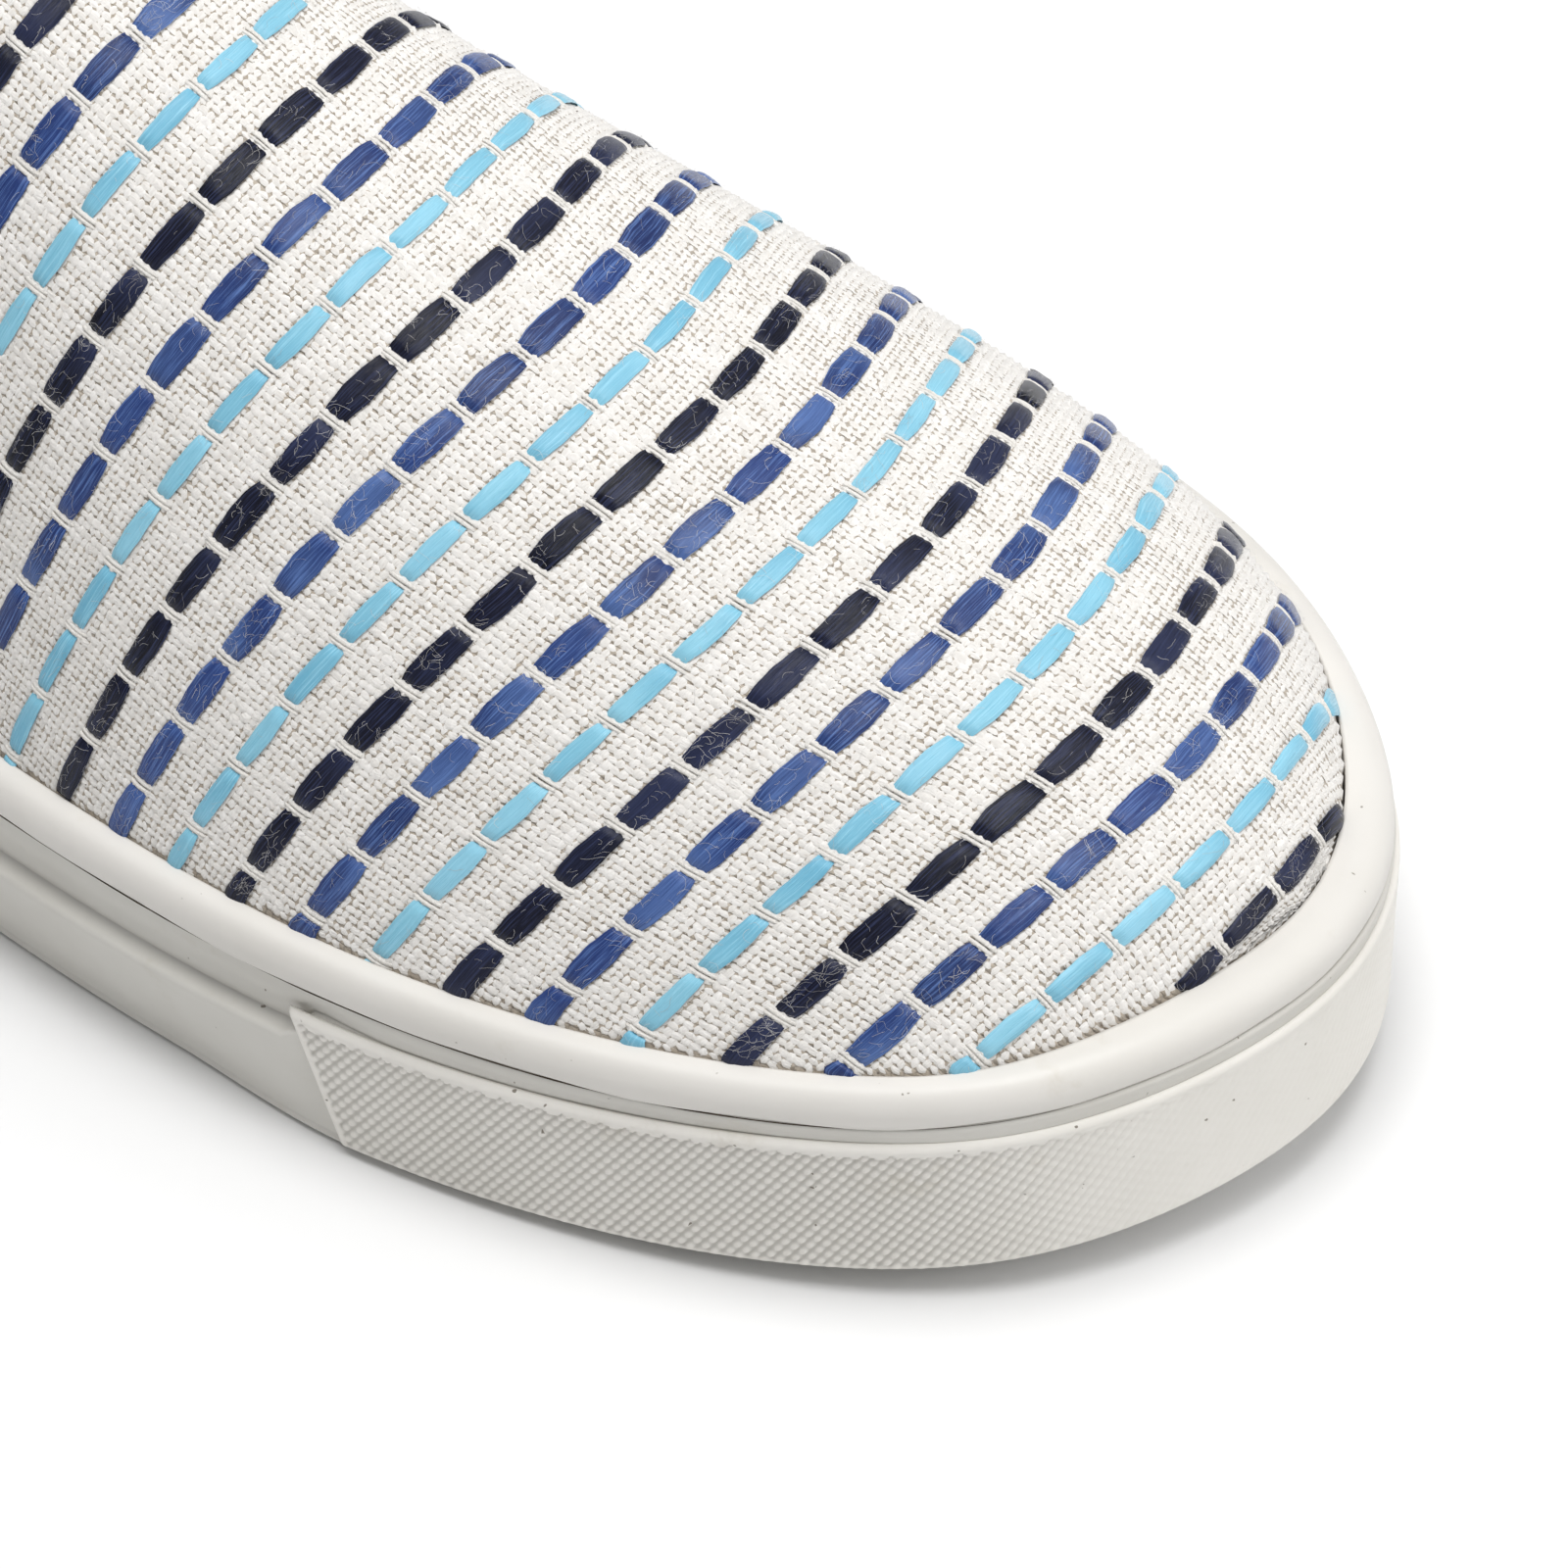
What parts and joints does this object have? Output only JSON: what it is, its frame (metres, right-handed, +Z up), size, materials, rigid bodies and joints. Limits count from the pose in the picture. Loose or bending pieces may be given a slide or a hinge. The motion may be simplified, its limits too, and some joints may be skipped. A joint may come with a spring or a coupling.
{
  "type": "slip-on canvas shoe",
  "caption": "Right-foot slip-on shoe: low woven canvas upper with dashed ribbon stripes, cream rand bead, thick rubber cup sole and knurled toe bumper.",
  "frame": {"origin": "on the floor under the middle of the shoe's box", "axes": "+X toward the toe, +Y toward the shoe's own left, which is its inner (medial) side, +Z up"},
  "size_m": [0.2758, 0.0969, 0.0863],
  "materials": {
    "outsole_rubber": "satin off-white moulded rubber",
    "rand_rubber": "smooth cream rubber, slightly glossy",
    "insole_fabric": "plain off-white cloth over foam",
    "canvas": "coarse off-white cotton weave with navy, blue and light blue ribbon floats"
  },
  "bodies": {
    "root": {"outsole": "outsole_rubber", "toe_bumper": "outsole_rubber", "rand": "rand_rubber", "insole": "insole_fabric", "upper": "canvas"}
  },
  "joints": []
}
